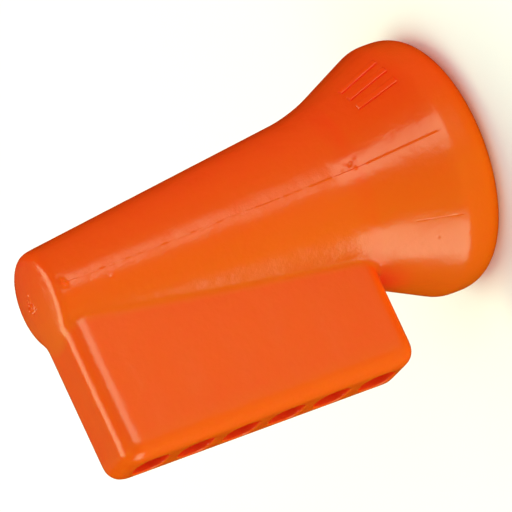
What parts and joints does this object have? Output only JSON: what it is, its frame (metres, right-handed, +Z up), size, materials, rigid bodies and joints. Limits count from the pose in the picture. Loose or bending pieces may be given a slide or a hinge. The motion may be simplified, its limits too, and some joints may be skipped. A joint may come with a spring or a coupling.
{
  "type": "twist-on wire connector",
  "caption": "Tapered twist-on wire connector: closed tip, flared round skirt, one flat finger wing cored out from its edge, and a conical square-wire gripping spring inside.",
  "frame": {"origin": "centre of the wire entry, on the plane of the skirt's lip", "axes": "+Z up the axis to the closed tip, -X towards the wing's outer edge, Y across the wing's thickness"},
  "size_m": [0.0186, 0.0152, 0.0273],
  "materials": {
    "shell_plastic": "smooth moulded orange polypropylene, slightly translucent",
    "spring_steel": "drawn square spring wire, bright zinc plated"
  },
  "bodies": {
    "root": {"insulating_shell": "shell_plastic", "coil_spring": "spring_steel"}
  },
  "joints": []
}
